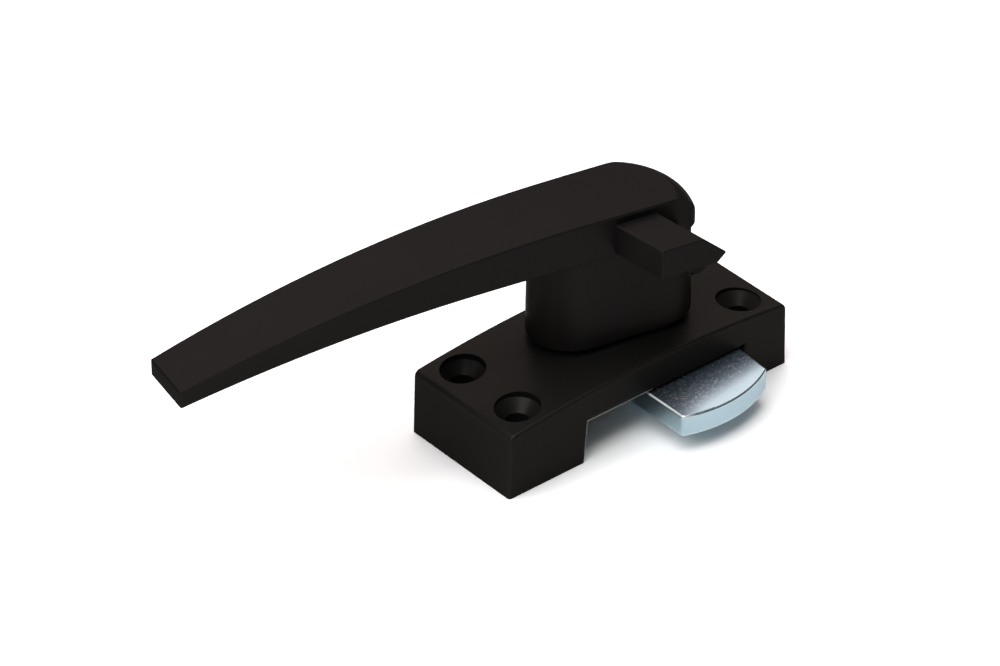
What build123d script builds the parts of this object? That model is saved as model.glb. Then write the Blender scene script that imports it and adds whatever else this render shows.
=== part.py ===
from build123d import *
import os
from math import radians, sqrt, tan

# Casement window handle in its closed position, in millimetres.
# An arched base screws to the sash. A cranked lever turns on an upright stem in the base, and a steel
# tongue clamped under the stem swings out of the base's front to hold the sash against the frame.
# The origin is the centre of the four screws on the mounting face. +X runs along the base towards the
# pivot end, -Y points to the frame that the tongue catches, and +Z points away from the sash.

# Base housing
base_length = 75.8
base_width = 31.1
base_crown_height = 17.4
base_arch_rise = 2.4
base_end_draft = 1.8
base_wall = 2.6
base_roof = 3.0
base_end_rounding = 1.6
base_edge_radius = 0.7

# Screw holes, measured in from the ends and sides of the mounting face
screw_end_inset = 7.9
screw_side_inset = 6.85
screw_hole_diameter = 5.0
countersink_diameter = 9.7
countersink_angle = 90.0
countersink_lip = 1.0
screw_post_wall = 3.1

# Pivot
pivot_x = 10.0
stem_diameter = 12.0
stem_square = 8.0
stem_square_corner = 0.8
boss_wall = 3.4
bush_wall = 1.0
bush_flange_diameter = 16.0
bush_flange_thickness = 1.7
bush_seat_depth = 0.8
running_clearance = 0.1
fit_clearance = 0.05

# Locking tongue, in plan from the pivot with its nose towards the frame
tongue_height = 4.4
tongue_thickness = 4.8
tongue_reach = 28.0
tongue_left = 10.5
tongue_right = 14.2
tongue_right_draft = 4.5
tongue_hub_radius = 10.5
tongue_corner_radius = 1.0
tongue_edge_radius = 0.5
tongue_swing_clearance = 1.2
tongue_stop_clearance = 0.4
cutout_clearance = 0.55
cutout_lip = 1.5
cutout_lean = 0.9
cutout_chamfer = 0.35
stop_lug_length = 6.0

# Parts stacked on the stem between the base's boss and the tongue, and under the tongue
thrust_washer_thickness = 0.8
disc_spring_height = 1.2
disc_spring_thickness = 0.5
stack_ring_width = 2.6
plain_washer_diameter = 14.0
plain_washer_thickness = 0.9
lock_washer_diameter = 8.8
lock_washer_thickness = 1.0
lock_washer_gap = 0.8
screw_diameter = 5.0
screw_length = 14.0
screw_head_diameter = 9.0
screw_head_height = 2.0
screw_head_chamfer = 0.7
screw_recess_width = 1.2
screw_recess_depth = 1.2
screw_recess_span = 5.0

# Handle, in a frame of its own: the pivot at x = 0 and the lever along -x
crank_angle = 11.0
neck_radius = 9.35
neck_rear = 16.3
neck_front = 1.7
neck_height = 21.8
neck_draft = 1.0
neck_chamfer = 0.5
lever_reach = 107.8
lever_depth = 9.2
lever_crown_offset = 20.0
lever_flat_length = 40.0
lever_tip_drop = 6.8
lever_tip_depth = 3.8
lever_tip_width = 13.9
lever_head_width = 19.0
lever_side_bulge = 0.7
lever_chamfer = 0.4
lever_tip_corner = 1.2
head_reach = 10.5
head_drop = 0.5
head_corner_radius = 7.0
head_dome_rear = 8.0
head_dome_side = 2.3
head_dome_radius = 17.4
head_dome_edge = 6.4

# Nose on the lever's frame side
nose_reach = 22.4
nose_skew = 15.3
nose_step = 1.9
nose_depth = 6.8
nose_width = 9.6
nose_ramp_run = 5.6
nose_ramp_drop = 4.9
nose_undercut = 2.0
nose_end_left = 7.95
nose_root = 3.4
nose_edge_radius = 0.35

# A face whose normal is this close to upright counts as a top or an underside
upright = 0.5

# Heights that follow from the sizes above
bush_seat = base_crown_height - bush_seat_depth
neck_bottom = bush_seat + bush_flange_thickness + running_clearance
lever_underside = neck_bottom + neck_height
lever_crown = lever_underside + lever_depth
tongue_top = tongue_height + tongue_thickness
cutout_top = tongue_top + cutout_clearance
spring_seat = tongue_top + disc_spring_height + running_clearance
boss_bottom = spring_seat + thrust_washer_thickness

# Plan sizes that follow from the sizes above
pivot = Pos(pivot_x, 0, 0)
base_end_x = base_length / 2 - (base_crown_height - base_arch_rise) * tan(radians(base_end_draft))
base_arch_radius = (base_end_x ** 2 + base_arch_rise ** 2) / (2 * base_arch_rise)
bush_diameter = stem_diameter + 2 * (bush_wall + running_clearance)
ring_bore = stem_diameter + 2 * running_clearance
ring_diameter = ring_bore + 2 * stack_ring_width
bay_left = pivot_x - tongue_reach - tongue_swing_clearance
bay_right = pivot_x + tongue_right + (tongue_reach - tongue_hub_radius) * tan(radians(tongue_right_draft))
bay_right += tongue_stop_clearance
cutout_left = bay_left + cutout_lip
screw_x = base_length / 2 - screw_end_inset
screw_y = base_width / 2 - screw_side_inset
screw_points = [(x, y) for x in (-screw_x, screw_x) for y in (-screw_y, screw_y)]


def span(x0, x1, y0, y1, z0, z1):
    """Box between two corners."""
    return Pos((x0 + x1) / 2, (y0 + y1) / 2, (z0 + z1) / 2) * Box(x1 - x0, y1 - y0, z1 - z0)


def disc(diameter, bottom, top):
    """Upright cylinder on the z axis."""
    standing = (Align.CENTER, Align.CENTER, Align.MIN)
    return Pos(0, 0, bottom) * Cylinder(diameter / 2, top - bottom, align=standing)


def ring(outer, inner, bottom, top):
    return disc(outer, bottom, top) - disc(inner, bottom, top)


def arched_blank(length, width, crown, end_rounding):
    """Block with drafted ends and a top that is arched along its length."""
    end_height = crown - base_arch_rise
    end_x = length / 2 - end_height * tan(radians(base_end_draft))
    with BuildPart() as blank:
        with BuildSketch(Plane.XZ):
            with BuildLine():
                foot = Polyline((-end_x, end_height), (-length / 2, 0), (length / 2, 0), (end_x, end_height))
                ThreePointArc(foot @ 1, (0, crown), foot @ 0)
            side = make_face()
            if end_rounding:
                fillet(side.vertices().group_by(Axis.Y)[-1], end_rounding)
        extrude(amount=width / 2, both=True)
    return blank.part


def screw_hole():
    """Through hole with a countersink set a short way under the arched top."""
    rim = countersink_diameter / 2
    bore = screw_hole_diameter / 2
    cone = (rim - bore) / tan(radians(countersink_angle / 2))
    fall = base_arch_radius - sqrt(base_arch_radius ** 2 - screw_x ** 2)
    seat = base_crown_height - fall - countersink_lip
    with BuildPart() as hole:
        with BuildSketch(Plane.XZ):
            with BuildLine():
                Polyline((0, 0), (bore, 0), (bore, seat - cone), (rim, seat), (rim, base_crown_height))
                Polyline((rim, base_crown_height), (0, base_crown_height), (0, 0))
            make_face()
        revolve(axis=Axis.Z)
    return hole.part


def base_housing():
    outer = arched_blank(base_length, base_width, base_crown_height, base_end_rounding)
    long_sides = outer.faces().sort_by(Axis.Y)
    rims = long_sides[0].edges() + long_sides[-1].edges()
    outer = fillet(rims.filter_by(lambda edge: edge.center().Z > base_edge_radius), base_edge_radius)

    inner_length = base_length - 2 * base_wall
    inner_width = base_width - 2 * base_wall
    inner = arched_blank(inner_length, inner_width, base_crown_height - base_roof, 0)
    bay = inner & span(bay_left, bay_right, -base_width, base_width, 0, base_crown_height)
    boss_diameter = bush_diameter + 2 * boss_wall
    bay -= pivot * disc(boss_diameter, boss_bottom, base_crown_height)
    lug_front = tongue_left + tongue_stop_clearance
    bay -= span(bay_left, bay_left + stop_lug_length, lug_front, base_width, 0, base_crown_height)

    # Cores between the screw posts
    core_y = screw_y - screw_hole_diameter / 2 - screw_post_wall
    left_core = inner & span(-base_length, bay_left - base_wall, -core_y, core_y, 0, base_crown_height)
    right_core = inner & span(bay_right + base_wall, base_length, -core_y, core_y, 0, base_crown_height)

    # Window in the front wall that the tongue swings through
    with BuildPart() as window:
        with BuildSketch(Plane.XZ):
            Polygon(
                (cutout_left, 0),
                (bay_right, 0),
                (bay_right, cutout_top),
                (cutout_left + cutout_lean, cutout_top),
                align=None,
            )
        extrude(amount=base_width)
    housing = outer - bay - left_core - right_core - window.part
    front = housing.faces().sort_by(Axis.Y)[0]
    jambs = front.edges().filter_by(lambda edge: 0 < edge.center().Z <= cutout_top)
    jambs = jambs.filter_by(lambda edge: cutout_left <= edge.center().X <= bay_right)
    housing = chamfer(jambs, cutout_chamfer)
    for x, y in screw_points:
        housing -= Pos(x, y, 0) * screw_hole()
    housing -= pivot * disc(bush_diameter + 2 * fit_clearance, 0, base_crown_height)
    housing -= pivot * disc(bush_flange_diameter + 2 * running_clearance, bush_seat, base_crown_height)
    return housing


def pivot_bush():
    """Flanged bush that carries the stem and spaces the neck off the base."""
    bush = disc(bush_flange_diameter, bush_seat, bush_seat + bush_flange_thickness)
    bush += disc(bush_diameter, boss_bottom, bush_seat)
    return pivot * (bush - disc(ring_bore, boss_bottom, neck_bottom))


def thrust_washer():
    return pivot * ring(ring_diameter, ring_bore, spring_seat, boss_bottom)


def disc_spring():
    """Coned washer that loads the tongue down and the handle on to its bush."""
    inner = ring_bore / 2
    outer = ring_diameter / 2
    top = tongue_top + disc_spring_height
    with BuildPart() as spring:
        with BuildSketch(Plane.XZ):
            Polygon(
                (outer, tongue_top),
                (outer, tongue_top + disc_spring_thickness),
                (inner, top),
                (inner, top - disc_spring_thickness),
                align=None,
            )
        revolve(axis=Axis.Z)
    return pivot * spring.part


def locking_tongue():
    """Steel plate with a square hole for the stem and an outer end struck from the pivot."""
    lean = tan(radians(tongue_right_draft))
    left_end = sqrt(tongue_reach ** 2 - tongue_left ** 2)
    right_end = sqrt(tongue_reach ** 2 - tongue_right ** 2)
    shoulder_x = tongue_right + (right_end - tongue_hub_radius) * lean
    with BuildPart() as tongue:
        with BuildSketch(Plane.XY.offset(tongue_height)):
            with BuildLine():
                Line((-tongue_left, 0), (-tongue_left, -left_end))
                ThreePointArc((-tongue_left, -left_end), (0, -tongue_reach), (tongue_right, -right_end))
                Line((tongue_right, -right_end), (shoulder_x, -tongue_hub_radius))
                Polyline((shoulder_x, -tongue_hub_radius), (tongue_hub_radius, 0), (-tongue_left, 0))
            blade = make_face()
            fillet(blade.vertices().sort_by(Axis.Y)[:2], tongue_corner_radius)
        extrude(amount=tongue_thickness)
        rims = tongue.faces().sort_by(Axis.Z)[-1].edges()
        fillet(rims.filter_by(lambda edge: edge.center().Y < -tongue_hub_radius), tongue_edge_radius)
    drive = stem_square + 2 * fit_clearance
    hub = disc(2 * tongue_hub_radius, tongue_height, tongue_top)
    hole = span(-drive / 2, drive / 2, -drive / 2, drive / 2, tongue_height, tongue_top)
    return pivot * (tongue.part + hub - hole)


def plain_washer():
    bore = screw_diameter + 2 * running_clearance
    return pivot * ring(plain_washer_diameter, bore, tongue_height - plain_washer_thickness, tongue_height)


def lock_washer():
    """Spring ring split on one side."""
    top = tongue_height - plain_washer_thickness
    bottom = top - lock_washer_thickness
    bore = screw_diameter + 2 * running_clearance
    split = span(0, lock_washer_diameter, -lock_washer_gap / 2, lock_washer_gap / 2, bottom, top)
    return pivot * (ring(lock_washer_diameter, bore, bottom, top) - split)


def retaining_screw():
    seat = tongue_height - plain_washer_thickness - lock_washer_thickness
    bottom = seat - screw_head_height
    head = disc(screw_head_diameter, bottom, seat)
    head = chamfer(head.edges().sort_by(Axis.Z)[0], screw_head_chamfer)
    half = screw_recess_span / 2
    slot = screw_recess_width / 2
    head -= span(-half, half, -slot, slot, bottom, bottom + screw_recess_depth)
    head -= span(-slot, slot, -half, half, bottom, bottom + screw_recess_depth)
    shank = disc(screw_diameter - 2 * fit_clearance, seat, seat + screw_length)
    return pivot * (head + shank)


def lever():
    """Arched lever: its side profile cut to the tapered plan."""
    tip_bottom = lever_underside - lever_tip_drop
    head_top = lever_crown - head_drop
    with BuildPart() as body:
        with BuildSketch(Plane.XZ):
            with BuildLine():
                crown = (-lever_crown_offset, lever_crown)
                flat_end = (-lever_flat_length, lever_underside)
                tip = TangentArc(crown, (-lever_reach, tip_bottom + lever_tip_depth), tangent=(-1, 0))
                head = TangentArc(crown, (head_reach, head_top), tangent=(1, 0))
                Polyline(head @ 1, (head_reach, lever_underside), flat_end)
                under = TangentArc(flat_end, (-lever_reach, tip_bottom), tangent=(-1, 0))
                Line(under @ 1, tip @ 1)
            make_face()
        extrude(amount=lever_head_width, both=True)
        with BuildSketch(Plane.XY):
            tip_y = lever_tip_width / 2
            head_y = lever_head_width / 2
            middle = ((head_reach - lever_reach) / 2, (tip_y + head_y) / 2 + lever_side_bulge)
            with BuildLine():
                far_side = ThreePointArc((-lever_reach, tip_y), middle, (head_reach, head_y))
                near_side = mirror(far_side, about=Plane.XZ)
                Line(far_side @ 0, near_side @ 0)
                Line(far_side @ 1, near_side @ 1)
            plan = make_face()
            fillet(plan.vertices().group_by(Axis.X)[-1], head_corner_radius)
            fillet(plan.vertices().group_by(Axis.X)[0], lever_tip_corner)
        extrude(amount=lever_crown, mode=Mode.INTERSECT)
        top = body.faces().filter_by(lambda face: face.normal_at().Z > upright)
        chamfer(top.edges().filter_by(lambda edge: edge.center().X < -head_dome_rear), lever_chamfer)
        underside = body.faces().filter_by(lambda face: face.normal_at().Z < -upright)
        seam_x = -lever_flat_length
        rims = underside.edges().filter_by(lambda edge: abs(edge.center().X - seam_x) > lever_chamfer)
        chamfer(rims, lever_chamfer)
    return body.part & head_form()


def head_form():
    """Upright drum with a large round at its top edge, which rounds the lever's head off to its end wall."""
    bottom = lever_underside - lever_tip_drop
    drum = disc(2 * head_dome_radius, bottom, lever_crown)
    drum = fillet(drum.edges().sort_by(Axis.Z)[-1], head_dome_edge)
    rear = span(-2 * lever_reach, -head_dome_rear, -lever_reach, lever_reach, 0, lever_crown)
    return Pos(-head_dome_rear, -head_dome_side, 0) * drum + rear


def neck():
    with BuildPart() as body:
        with BuildSketch(Plane.XY.offset(neck_bottom)):
            with Locations(((neck_front - neck_rear) / 2, 0)):
                SlotCenterToCenter(neck_rear + neck_front, 2 * neck_radius)
        extrude(amount=neck_height, taper=neck_draft)
        chamfer(body.faces().sort_by(Axis.Z)[0].edges(), neck_chamfer)
    return body.part


def nose():
    """Ramped nose that stands out of the lever's side, square to the frame."""
    top = lever_crown - nose_step
    bottom = top - nose_depth
    left = -nose_end_left
    right = left + nose_width
    tip = right + nose_ramp_run
    with BuildPart() as body:
        with BuildSketch(Plane.XZ.offset(nose_reach)):
            Polygon(
                (left, top),
                (left, bottom),
                (tip - nose_undercut, bottom),
                (tip, top - nose_ramp_drop),
                (right, top),
                align=None,
            )
        extrude(amount=nose_reach - nose_root, dir=(-tan(radians(nose_skew)), 1, 0))
        outer = body.edges().filter_by(lambda e: e.center().Y < -neck_radius)
        fillet(outer, nose_edge_radius)
    return body.part


def stem():
    """Round journal and square drive under the neck, tapped for the retaining screw."""
    square_end = tongue_height + running_clearance
    with BuildPart() as body:
        with BuildSketch(Plane.XY.offset(square_end)):
            RectangleRounded(stem_square, stem_square, stem_square_corner)
        extrude(amount=tongue_top - square_end)
    thread_top = tongue_height + screw_length
    return body.part + disc(stem_diameter, tongue_top, neck_bottom), disc(screw_diameter, 0, thread_top)


def handle():
    """Lever, neck, nose and stem as one casting."""
    cranked = Rot(0, 0, -crank_angle) * (lever() + neck() + nose())
    shaft, thread = stem()
    return pivot * (cranked + shaft - thread)


parts = {
    "base_housing": base_housing,
    "pivot_bush": pivot_bush,
    "thrust_washer": thrust_washer,
    "disc_spring": disc_spring,
    "locking_tongue": locking_tongue,
    "plain_washer": plain_washer,
    "lock_washer": lock_washer,
    "retaining_screw": retaining_screw,
    "handle": handle,
}

os.makedirs("parts", exist_ok=True)
for name, make in parts.items():
    export_step(make(), f"parts/{name}.step")
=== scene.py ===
import math

import bmesh
import bpy
from mathutils import Matrix, Vector


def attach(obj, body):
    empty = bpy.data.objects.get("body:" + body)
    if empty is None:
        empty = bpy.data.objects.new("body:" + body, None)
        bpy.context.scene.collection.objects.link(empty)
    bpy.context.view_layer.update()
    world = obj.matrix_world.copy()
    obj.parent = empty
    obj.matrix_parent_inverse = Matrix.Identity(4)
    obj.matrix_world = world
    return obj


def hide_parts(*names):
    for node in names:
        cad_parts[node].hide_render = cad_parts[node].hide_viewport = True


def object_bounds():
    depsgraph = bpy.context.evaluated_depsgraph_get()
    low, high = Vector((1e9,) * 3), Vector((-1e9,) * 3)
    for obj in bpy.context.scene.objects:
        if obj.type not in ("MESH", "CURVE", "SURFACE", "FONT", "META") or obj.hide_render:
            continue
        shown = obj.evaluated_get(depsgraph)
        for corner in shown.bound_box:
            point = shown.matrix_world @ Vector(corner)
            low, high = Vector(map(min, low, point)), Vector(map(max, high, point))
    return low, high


# Casement window handle: finishes, the lever's rounded tip, floor, light and camera, in metres.

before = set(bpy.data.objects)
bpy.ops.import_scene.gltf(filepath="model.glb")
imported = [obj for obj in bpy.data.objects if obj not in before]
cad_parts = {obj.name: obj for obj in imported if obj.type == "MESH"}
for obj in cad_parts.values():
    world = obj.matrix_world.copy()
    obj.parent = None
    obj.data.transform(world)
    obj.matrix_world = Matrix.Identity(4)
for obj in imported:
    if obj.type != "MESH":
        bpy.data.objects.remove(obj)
cad_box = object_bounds()
scene = bpy.context.scene

MM = 0.001

# Camera of the photograph
CAMERA_AZIMUTH = math.radians(-39.81)
CAMERA_ELEVATION = math.radians(34.75)
CAMERA_DISTANCE = 1.0
CAMERA_TARGET = Vector((-27.36, 0.0, 28.14)) * MM
CAMERA_LENS = 178.34
CAMERA_SENSOR = 36.0
CAMERA_NEAR = 0.05
CAMERA_FAR = 20.0

# Floor, whose seen shade is over 1 so that open floor shows white
FLOOR_SIZE = 6.0
FLOOR_SHADE = 0.65
FLOOR_MIRRORED_SHADE = 0.89
FLOOR_SEEN_SHADE = 1.39

# Light from all round, and the two cosines to its dark side between which it fades
WORLD_STRENGTH = 0.20
WORLD_DARK_STRENGTH = 0.06
WORLD_DARK_SIDE = (0.75, -0.60, -0.28)
WORLD_FADE = (-0.2, 0.8)

# Lamps, with width before height
LAMP_AIM = Vector((0.0, 0.0, 0.02))
OVERHEAD_PLACE = Vector((-0.38, 0.0, 1.05))
OVERHEAD_SIZE = (1.0, 1.7)
OVERHEAD_WATTS = 15.0
OVERHEAD_COLOUR = (1.0, 1.0, 1.0)
BACK_PLACE = Vector((0.46, 0.82, 0.80))
BACK_SIZE = (1.7, 1.0)
BACK_WATTS = 6.6
BACK_COLOUR = (1.0, 0.84, 0.82)

# Noise, most of which lies between these two values
NOISE_LOW = 0.3
NOISE_HIGH = 0.7

# Edges: the cosine between the face and its bevel at which an edge counts in full
EDGE_COSINE = 0.9
EDGE_SAMPLES = 6

# Black coat
# The base's coat is painted lighter than the handle's, though both are the same coat: painted light.
BASE_COAT_PAINTED_LIGHTER = (0.0228, 0.0215, 0.0202)
BASE_WEAR_AND_HIGHLIGHT = 0.15
HANDLE_COAT = (0.0188, 0.0173, 0.0166)
HANDLE_WEAR_AND_HIGHLIGHT = 0.2
COAT_CLOUDS = 0.08
# Lighter colour of the coat's edges: partly wear, partly painted highlight along the rims.
COAT_WEAR_AND_HIGHLIGHT = (0.055, 0.052, 0.049)
COAT_WEAR_AND_HIGHLIGHT_FROM = 0.2
COAT_WEAR_AND_HIGHLIGHT_TO = 0.6
COAT_METALLIC = 0.6
COAT_TINT = (0.45, 0.45, 0.45, 1.0)
COAT_ROUGHNESS = (0.34, 0.42)
COAT_EDGE = 0.35 * MM
COAT_GRAIN = 0.35 * MM
COAT_GRAIN_DEPTH = 0.003 * MM
COAT_PEEL = 1.8 * MM
COAT_PEEL_DEPTH = 0.010 * MM
COAT_CLOUD_SIZE = 22 * MM
COAT_WEAR_AND_HIGHLIGHT_SIZE = 3 * MM

# Strip round the base's front window, painted light grey as a painted highlight along its edge, measured
# from the part's origin
WINDOW_HIGHLIGHT_LINTEL = 9.7 * MM
WINDOW_HIGHLIGHT_JAMB = -17.6 * MM
WINDOW_HIGHLIGHT_END = -0.5 * MM
WINDOW_HIGHLIGHT_WIDTH = 0.55 * MM
WINDOW_HIGHLIGHT_COLOUR = (0.45, 0.45, 0.42)
JAMB_LEAN = 0.092
FRONT_FACING = -0.5

# Zinc plate
ZINC_DARK = (0.46, 0.64, 0.72)
ZINC_LIGHT = (0.56, 0.73, 0.81)
# Near-white colour of the highlights painted on the zinc's rims.
ZINC_PAINTED_HIGHLIGHT = (0.94, 0.98, 0.99)
ZINC_CLOUD_SIZE = 9 * MM
ZINC_ROUGHNESS = (0.27, 0.29)
ZINC_LINE = 0.25 * MM
ZINC_LINE_STRETCH = (1.0, 0.12, 1.0)
ZINC_LINE_DEPTH = 0.0005 * MM
ZINC_SPECKLE = 0.5 * MM
ZINC_SPECKLE_ROUGHNESS = 0.7
ZINC_RELIEF = 0.06
ZINC_RELIEF_DEPTH = 0.014 * MM
# Rims painted toward near white, as a painted highlight along every edge.
ZINC_HIGHLIGHT_EDGE = 0.7 * MM
ZINC_HIGHLIGHT_FROM = 0.15
ZINC_HIGHLIGHT_TO = 0.7
ZINC_HIGHLIGHT_SHARE = 0.8

# Top of the tongue that slides under the base, rougher there and painted dark with bright flecks as a
# painted reflection of the black base: along Y, less the slant times X
DULL_AND_PAINTED_REFLECTION_FROM = -27.2 * MM
DULL_AND_PAINTED_REFLECTION_TO = -22.6 * MM
DULL_AND_PAINTED_REFLECTION_SLANT = 0.16
DULL_AND_PAINTED_REFLECTION_FACING = (0.6, 0.9)
PAINTED_REFLECTION_COLOUR = (0.22, 0.30, 0.38)
PAINTED_REFLECTION_FLECK = (0.92, 0.97, 0.99)
PAINTED_REFLECTION_FLECKS_FROM = 0.50
PAINTED_REFLECTION_FLECKS_TO = 0.73
DULLED_ROUGHNESS = 0.42

# Round of the tongue between its top and its -X side, by the way it faces, painted near white and less
# metallic as a painted highlight
HIGHLIGHT_ROUND_FACING_X = (-0.92, -0.25)
HIGHLIGHT_ROUND_FACING_Z = (0.3, 0.96)
HIGHLIGHT_ROUND_METALLIC = 0.3

# Spring steel
SPRING_DARK = (0.16, 0.17, 0.19)
SPRING_LIGHT = (0.26, 0.26, 0.27)
SPRING_CLOUD_SIZE = 4 * MM
SPRING_ROUGHNESS = (0.30, 0.45)
SPRING_GRAIN = 0.3 * MM
SPRING_GRAIN_DEPTH = 0.004 * MM

# Moulded nylon
NYLON_DARK = (0.010, 0.010, 0.010)
NYLON_LIGHT = (0.016, 0.016, 0.015)
NYLON_CLOUD_SIZE = 6 * MM
NYLON_ROUGHNESS = (0.55, 0.68)
NYLON_GLOSS = 0.3
NYLON_GRAIN = 0.5 * MM
NYLON_GRAIN_DEPTH = 0.006 * MM

# Lever's tip, whose corners are square in the solid and are rounded here
LEVER_PIVOT = Vector((10.0, 0.0, 0.0)) * MM
LEVER_CRANK = math.radians(-11.0)
LEVER_REACH = 107.8 * MM
TIP_HALF_WIDTH = 6.95 * MM
TIP_SIDE_LEAN = math.radians(3.3)
TIP_LENGTH = 12.0 * MM
TIP_ROUND = 0.9 * MM
TIP_FACETS = 5
WELD = 0.001 * MM


def add(tree, kind, inputs=None, **settings):
    """Adds a node, sets its properties, and sets or links its inputs."""
    made = tree.nodes.new(kind)
    for name, value in settings.items():
        setattr(made, name, value)
    for name, value in (inputs or {}).items():
        if isinstance(value, bpy.types.NodeSocket):
            tree.links.new(value, made.inputs[name])
        else:
            made.inputs[name].default_value = value
    return made


def new_material(name):
    """An empty node material and its tree."""
    material = bpy.data.materials.new(name)
    material.use_nodes = True
    material.node_tree.nodes.clear()
    return material, material.node_tree


def finish_with(tree, shader):
    """Makes a shader the material's surface."""
    add(tree, "ShaderNodeOutputMaterial", {"Surface": shader.outputs[0]})


def place(tree):
    """Position on the piece, in metres, which moves with it."""
    return add(tree, "ShaderNodeTexCoord").outputs["Object"]


def place_and_facing(tree):
    """Position on the piece and the way its surface faces, each as X, Y and Z."""
    position = add(tree, "ShaderNodeTexCoord").outputs
    point = add(tree, "ShaderNodeSeparateXYZ", {0: position["Object"]}).outputs
    facing = add(tree, "ShaderNodeSeparateXYZ", {0: position["Normal"]}).outputs
    return point, facing


def sums(tree, operation, *values):
    """Result of one operation on sockets or numbers."""
    return add(tree, "ShaderNodeMath", dict(enumerate(values)), operation=operation).outputs[0]


def both(tree, first, second):
    """Product of two shares."""
    return sums(tree, "MULTIPLY", first, second)


def within(tree, value, low, high):
    """1 where the value lies between two limits, and 0 elsewhere."""
    over = sums(tree, "GREATER_THAN", value, low)
    under = sums(tree, "LESS_THAN", value, high)
    return both(tree, over, under)


def noise(tree, where, feature, detail=3.0, roughness=0.55):
    """Noise whose features are about this wide, in metres."""
    made = add(
        tree,
        "ShaderNodeTexNoise",
        {"Vector": where, "Scale": 1 / feature, "Detail": detail, "Roughness": roughness},
    )
    return made.outputs["Fac"]


def remap(tree, value, low, high, to_low, to_high):
    """Takes a value from one range to another, and stops at its ends."""
    made = add(
        tree,
        "ShaderNodeMapRange",
        {"Value": value, "From Min": low, "From Max": high, "To Min": to_low, "To Max": to_high},
    )
    return made.outputs["Result"]


def spread(tree, grain, limits):
    """Takes a noise to a range of values."""
    return remap(tree, grain, NOISE_LOW, NOISE_HIGH, *limits)


def blend(tree, share, first, second):
    """Mixes two colours."""
    made = add(tree, "ShaderNodeMix", data_type="RGBA")
    tree.links.new(share, made.inputs["Factor"])
    for socket, value in ((made.inputs[6], first), (made.inputs[7], second)):
        if isinstance(value, bpy.types.NodeSocket):
            tree.links.new(value, socket)
        else:
            socket.default_value = (*value, 1.0)
    return made.outputs[2]


def edges(tree, radius):
    """1 on edges that a bevel of this radius would turn, and 0 on flat faces."""
    bevel = add(tree, "ShaderNodeBevel", {"Radius": radius}, samples=EDGE_SAMPLES)
    normal = add(tree, "ShaderNodeNewGeometry").outputs["Normal"]
    dot = add(
        tree,
        "ShaderNodeVectorMath",
        {0: bevel.outputs["Normal"], 1: normal},
        operation="DOT_PRODUCT",
    )
    return remap(tree, dot.outputs["Value"], 1.0, EDGE_COSINE, 0.0, 1.0)


def bump(tree, height, distance, normal=None):
    """Normal that a relief of this depth gives, on top of another where there is one."""
    inputs = {"Height": height, "Distance": distance, "Strength": 1.0}
    if normal is not None:
        inputs["Normal"] = normal
    return add(tree, "ShaderNodeBump", inputs).outputs["Normal"]


def window_highlight_strip(tree):
    """1 on the strip round the base's front window that the tongue passes, where a highlight is painted.
    """
    point, facing = place_and_facing(tree)
    across = sums(tree, "MULTIPLY_ADD", point["Z"], -JAMB_LEAN, point["X"])
    top = WINDOW_HIGHLIGHT_LINTEL + WINDOW_HIGHLIGHT_WIDTH
    beside = within(tree, across, WINDOW_HIGHLIGHT_JAMB - WINDOW_HIGHLIGHT_WIDTH, WINDOW_HIGHLIGHT_JAMB)
    jamb = both(tree, beside, within(tree, point["Z"], 0.0, top))
    above = within(tree, point["Z"], WINDOW_HIGHLIGHT_LINTEL, top)
    lintel = both(tree, above, within(tree, across, WINDOW_HIGHLIGHT_JAMB, WINDOW_HIGHLIGHT_END))
    either = sums(tree, "MAXIMUM", jamb, lintel)
    return both(tree, either, sums(tree, "LESS_THAN", facing["Y"], FRONT_FACING))


def black_coating(name, shade, most_wear_and_highlight, painted_window_highlight=False):
    """Black powder coat on a zinc casting: satin, with a fine grain, faint clouds, and edges lighter in
    patches, partly wear and partly painted highlight.
    """
    material, tree = new_material(name)
    where = place(tree)
    grain = noise(tree, where, COAT_GRAIN)
    peel = noise(tree, where, COAT_PEEL, detail=2.0)
    clouds = noise(tree, where, COAT_CLOUD_SIZE)
    darker = [(1 - COAT_CLOUDS) * part for part in shade]
    lighter = [(1 + COAT_CLOUDS) * part for part in shade]
    coat = blend(tree, clouds, darker, lighter)
    # Edges lighter in patches: partly wear and partly painted highlight along the rims.
    wear_and_highlight = both(tree, edges(tree, COAT_EDGE), noise(tree, where, COAT_WEAR_AND_HIGHLIGHT_SIZE))
    wear_and_highlight_share = remap(tree, wear_and_highlight, COAT_WEAR_AND_HIGHLIGHT_FROM, COAT_WEAR_AND_HIGHLIGHT_TO, 0.0, most_wear_and_highlight)
    colour = blend(tree, wear_and_highlight_share, coat, COAT_WEAR_AND_HIGHLIGHT)
    # Painted highlight: a light grey strip round the base's front window.
    if painted_window_highlight:
        colour = blend(tree, window_highlight_strip(tree), colour, WINDOW_HIGHLIGHT_COLOUR)
    normal = bump(tree, peel, COAT_PEEL_DEPTH)
    normal = bump(tree, grain, COAT_GRAIN_DEPTH, normal=normal)
    shader = add(
        tree,
        "ShaderNodeBsdfPrincipled",
        {
            "Base Color": colour,
            "Metallic": COAT_METALLIC,
            "Roughness": spread(tree, grain, COAT_ROUGHNESS),
            "Specular IOR Level": 0.0,
            "Specular Tint": COAT_TINT,
            "Normal": normal,
        },
    )
    finish_with(tree, shader)
    return material


def dull_and_painted_reflection(tree):
    """1 on the top of the tongue that slides under the base, where it is rougher and a reflection of the
    black base is painted, fading to 0 at its outer end.
    """
    point, facing = place_and_facing(tree)
    outward = sums(tree, "MULTIPLY_ADD", point["X"], -DULL_AND_PAINTED_REFLECTION_SLANT, point["Y"])
    inside = remap(tree, outward, DULL_AND_PAINTED_REFLECTION_FROM, DULL_AND_PAINTED_REFLECTION_TO, 0.0, 1.0)
    return both(tree, inside, remap(tree, facing["Z"], *DULL_AND_PAINTED_REFLECTION_FACING, 0.0, 1.0))


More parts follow.
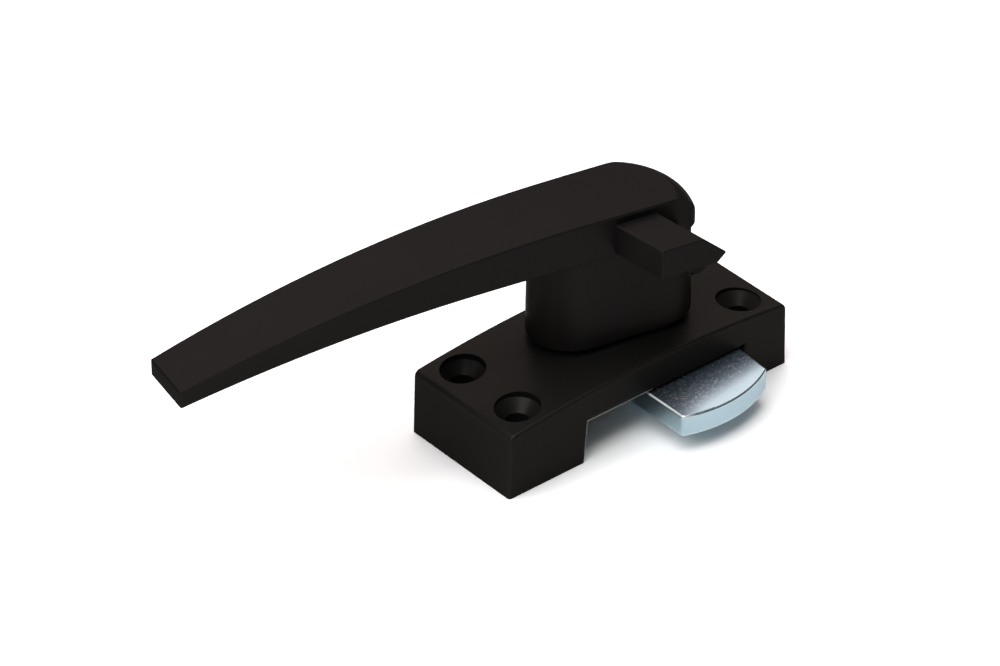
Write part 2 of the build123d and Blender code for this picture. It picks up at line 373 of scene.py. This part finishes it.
def painted_highlight_round(tree):
    """1 on the round between the tongue's top and its -X side, where a highlight is painted."""
    facing = place_and_facing(tree)[1]
    sideways = within(tree, facing["X"], *HIGHLIGHT_ROUND_FACING_X)
    return both(tree, sideways, within(tree, facing["Z"], *HIGHLIGHT_ROUND_FACING_Z))


def zinc_plate(name, dulled_with_painted_light=False):
    """Bright zinc over rolled steel: bluish and smooth, with a painted highlight along its rims; on the
    tongue, rougher next to the base under a painted reflection of the black base, with a painted
    highlight on one rim.
    """
    material, tree = new_material(name)
    where = place(tree)
    along = add(tree, "ShaderNodeMapping", {"Vector": where, "Scale": ZINC_LINE_STRETCH})
    lines = noise(tree, along.outputs["Vector"], ZINC_LINE)
    speckle = noise(tree, where, ZINC_SPECKLE, roughness=ZINC_SPECKLE_ROUGHNESS)
    colour = blend(tree, noise(tree, where, ZINC_CLOUD_SIZE), ZINC_DARK, ZINC_LIGHT)
    relief = remap(tree, speckle, 0.0, 1.0, 0.0, ZINC_RELIEF)
    rough = spread(tree, lines, ZINC_ROUGHNESS)
    metal = 1.0
    if dulled_with_painted_light:
        # Painted reflection: the tongue's top next to the base is painted dark with bright flecks,
        # standing in for the black base mirrored in it; it is also rougher there.
        share = dull_and_painted_reflection(tree)
        spots = remap(tree, speckle, PAINTED_REFLECTION_FLECKS_FROM, PAINTED_REFLECTION_FLECKS_TO, 0.0, 1.0)
        painted_reflection = blend(tree, spots, PAINTED_REFLECTION_COLOUR, PAINTED_REFLECTION_FLECK)
        colour = blend(tree, share, colour, painted_reflection)
        relief = both(tree, speckle, remap(tree, share, 0.0, 1.0, ZINC_RELIEF, 1.0))
        rough = remap(tree, share, 0.0, 1.0, rough, DULLED_ROUGHNESS)
    # Painted highlight: every rim is painted toward near white.
    turned = edges(tree, ZINC_HIGHLIGHT_EDGE)
    rim = remap(tree, turned, ZINC_HIGHLIGHT_FROM, ZINC_HIGHLIGHT_TO, 0.0, ZINC_HIGHLIGHT_SHARE)
    colour = blend(tree, rim, colour, ZINC_PAINTED_HIGHLIGHT)
    if dulled_with_painted_light:
        # Painted highlight: the round on the tongue's -X side is painted near white and made less
        # metallic.
        painted_highlight_share = painted_highlight_round(tree)
        colour = blend(tree, painted_highlight_share, colour, ZINC_PAINTED_HIGHLIGHT)
        metal = remap(tree, painted_highlight_share, 0.0, 1.0, 1.0, HIGHLIGHT_ROUND_METALLIC)
    normal = bump(tree, relief, ZINC_RELIEF_DEPTH)
    normal = bump(tree, lines, ZINC_LINE_DEPTH, normal=normal)
    shader = add(
        tree,
        "ShaderNodeBsdfPrincipled",
        {
            "Base Color": colour,
            "Metallic": metal,
            "Roughness": rough,
            "Normal": normal,
        },
    )
    finish_with(tree, shader)
    return material


def spring_steel():
    """Oiled spring steel with a fine grain."""
    material, tree = new_material("spring_steel")
    where = place(tree)
    grain = noise(tree, where, SPRING_GRAIN)
    clouds = noise(tree, where, SPRING_CLOUD_SIZE)
    shader = add(
        tree,
        "ShaderNodeBsdfPrincipled",
        {
            "Base Color": blend(tree, clouds, SPRING_DARK, SPRING_LIGHT),
            "Metallic": 1.0,
            "Roughness": spread(tree, grain, SPRING_ROUGHNESS),
            "Normal": bump(tree, grain, SPRING_GRAIN_DEPTH),
        },
    )
    finish_with(tree, shader)
    return material


def moulded_nylon():
    """Black moulded nylon, dull and slightly cloudy."""
    material, tree = new_material("moulded_nylon")
    where = place(tree)
    grain = noise(tree, where, NYLON_GRAIN)
    clouds = noise(tree, where, NYLON_CLOUD_SIZE)
    shader = add(
        tree,
        "ShaderNodeBsdfPrincipled",
        {
            "Base Color": blend(tree, clouds, NYLON_DARK, NYLON_LIGHT),
            "Roughness": spread(tree, grain, NYLON_ROUGHNESS),
            "Specular IOR Level": NYLON_GLOSS,
            "Normal": bump(tree, grain, NYLON_GRAIN_DEPTH),
        },
    )
    finish_with(tree, shader)
    return material


def tip_facets():
    """The centre and the outward direction of each facet that rounds the tip's two corners."""
    turn = Matrix.Rotation(LEVER_CRANK, 3, "Z")
    sweep = math.pi / 2 - TIP_SIDE_LEAN
    inset = TIP_ROUND * (1 - math.sin(TIP_SIDE_LEAN)) / math.cos(TIP_SIDE_LEAN)
    for side in (-1, 1):
        corner = Vector((TIP_ROUND - LEVER_REACH, side * (TIP_HALF_WIDTH - inset), 0.0))
        centre = LEVER_PIVOT + turn @ corner
        for step in range(TIP_FACETS):
            angle = sweep * (step + 0.5) / TIP_FACETS
            yield centre, turn @ Vector((-math.cos(angle), side * math.sin(angle), 0.0))


def plane_off(body, facing, centre, way):
    """Cuts the mesh back to one facet of a round, and closes the cut."""
    cut = bmesh.ops.bisect_plane(
        body,
        geom=body.verts[:] + body.edges[:] + body.faces[:],
        dist=WELD,
        plane_co=centre + TIP_ROUND * way,
        plane_no=way,
        clear_outer=True,
    )
    rim = [element for element in cut["geom_cut"] if isinstance(element, bmesh.types.BMEdge)]
    for face in bmesh.ops.contextual_create(body, geom=rim)["faces"]:
        face.smooth = True
        face.normal_update()
        if face.normal.dot(way) < 0:
            face.normal_flip()
        for loop in face.loops:
            out = loop.vert.co - centre
            loop[facing] = Vector((out.x, out.y, 0.0)).normalized()


def weld_tip(body):
    """Joins the points that the faces near the lever's tip share, so that a cut there closes."""
    outward = Matrix.Rotation(LEVER_CRANK, 3, "Z") @ Vector((-1.0, 0.0, 0.0))
    tip_start = LEVER_REACH - TIP_LENGTH
    near_tip = [vert for vert in body.verts if (vert.co - LEVER_PIVOT).dot(outward) > tip_start]
    bmesh.ops.remove_doubles(body, verts=near_tip, dist=WELD)


def round_handle():
    """The handle with its tip rounded, in place of the solid, with the solid's own shading elsewhere."""
    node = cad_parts["handle"]
    mesh = node.data.copy()
    body = bmesh.new()
    body.from_mesh(mesh)
    facing = body.loops.layers.float_vector.new("facing")
    for face in body.faces:
        for loop, corner in zip(face.loops, node.data.polygons[face.index].loop_indices):
            loop[facing] = node.data.corner_normals[corner].vector
    weld_tip(body)
    for centre, way in tip_facets():
        plane_off(body, facing, centre, way)
    body.to_mesh(mesh)
    body.free()
    normals = [corner.vector.copy() for corner in mesh.attributes["facing"].data]
    mesh.attributes.remove(mesh.attributes["facing"])
    mesh.normals_split_custom_set(normals)
    piece = bpy.data.objects.new("handle_casting", mesh)
    piece.matrix_world = node.matrix_world
    scene.collection.objects.link(piece)
    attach(piece, "turning_handle")
    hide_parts("handle")


def give_finishes():
    """Gives each CAD piece its material."""
    # The base gets a lighter copy of the coat, as painted light.
    base_coat_painted_lighter = black_coating("base_coat_painted_lighter", BASE_COAT_PAINTED_LIGHTER, BASE_WEAR_AND_HIGHLIGHT, painted_window_highlight=True)
    coated_handle = black_coating("coated_handle", HANDLE_COAT, HANDLE_WEAR_AND_HIGHLIGHT)
    finishes = {
        base_coat_painted_lighter: ("base_housing",),
        coated_handle: ("handle",),
        zinc_plate("zinc_tongue", dulled_with_painted_light=True): ("locking_tongue",),
        zinc_plate("zinc_screw"): ("thrust_washer", "plain_washer", "retaining_screw"),
        spring_steel(): ("disc_spring", "lock_washer"),
        moulded_nylon(): ("pivot_bush",),
    }
    for material, names in finishes.items():
        for name in names:
            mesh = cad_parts[name].data
            mesh.materials.clear()
            mesh.materials.append(material)


def floor_paper():
    """White paper that is seen brighter than the light it gives back, so that open floor shows white."""
    material, tree = new_material("floor_paper")
    path = add(tree, "ShaderNodeLightPath").outputs
    mirrored = sums(tree, "MAXIMUM", path["Is Glossy Ray"], path["Is Transmission Ray"])
    shade = blend(tree, mirrored, (FLOOR_SHADE,) * 3, (FLOOR_MIRRORED_SHADE,) * 3)
    shade = blend(tree, path["Is Camera Ray"], shade, (FLOOR_SEEN_SHADE,) * 3)
    finish_with(tree, add(tree, "ShaderNodeBsdfDiffuse", {"Color": shade}))
    return material


def lay_floor():
    """Square floor that the base stands on."""
    half = FLOOR_SIZE / 2
    corners = [(-half, -half, 0), (half, -half, 0), (half, half, 0), (-half, half, 0)]
    mesh = bpy.data.meshes.new("floor")
    mesh.from_pydata(corners, [], [range(len(corners))])
    mesh.materials.append(floor_paper())
    floor = bpy.data.objects.new("floor", mesh)
    floor.location.z = cad_box[0].z
    scene.collection.objects.link(floor)


def light_all_round():
    """Weak light from all round, which fades towards the handle's head."""
    world = bpy.data.worlds.new("studio")
    world.use_nodes = True
    tree = world.node_tree
    tree.nodes.clear()
    way = add(tree, "ShaderNodeTexCoord").outputs["Generated"]
    side = add(tree, "ShaderNodeVectorMath", {0: way, 1: WORLD_DARK_SIDE}, operation="DOT_PRODUCT")
    cosine = side.outputs["Value"]
    strength = remap(tree, cosine, *WORLD_FADE, WORLD_STRENGTH, WORLD_DARK_STRENGTH)
    light = add(tree, "ShaderNodeBackground", {"Color": (1.0, 1.0, 1.0, 1.0), "Strength": strength})
    add(tree, "ShaderNodeOutputWorld", {"Surface": light.outputs[0]})
    scene.world = world


def softbox(name, place_at, size, watts, colour):
    """Rectangular area lamp aimed at the handle."""
    lamp = bpy.data.lights.new(name, "AREA")
    lamp.shape = "RECTANGLE"
    lamp.size, lamp.size_y = size
    lamp.energy = watts
    lamp.color = colour
    box = bpy.data.objects.new(name, lamp)
    box.location = place_at
    box.rotation_euler = (LAMP_AIM - place_at).to_track_quat("-Z", "Y").to_euler()
    scene.collection.objects.link(box)


def set_camera():
    """Camera at the photograph's angle and distance."""
    lens = bpy.data.cameras.new("photo_camera")
    lens.sensor_width = CAMERA_SENSOR
    lens.lens = CAMERA_LENS
    lens.clip_start = CAMERA_NEAR
    lens.clip_end = CAMERA_FAR
    camera = bpy.data.objects.new("photo_camera", lens)
    flat = math.cos(CAMERA_ELEVATION)
    back = Vector(
        (math.sin(CAMERA_AZIMUTH) * flat, -math.cos(CAMERA_AZIMUTH) * flat, math.sin(CAMERA_ELEVATION))
    )
    camera.location = CAMERA_TARGET + back * CAMERA_DISTANCE
    camera.rotation_euler = (-back).to_track_quat("-Z", "Y").to_euler()
    scene.collection.objects.link(camera)
    scene.camera = camera


give_finishes()
round_handle()
lay_floor()
light_all_round()
softbox("overhead", OVERHEAD_PLACE, OVERHEAD_SIZE, OVERHEAD_WATTS, OVERHEAD_COLOUR)
softbox("back_panel", BACK_PLACE, BACK_SIZE, BACK_WATTS, BACK_COLOUR)
set_camera()
scene.view_settings.view_transform = "Standard"
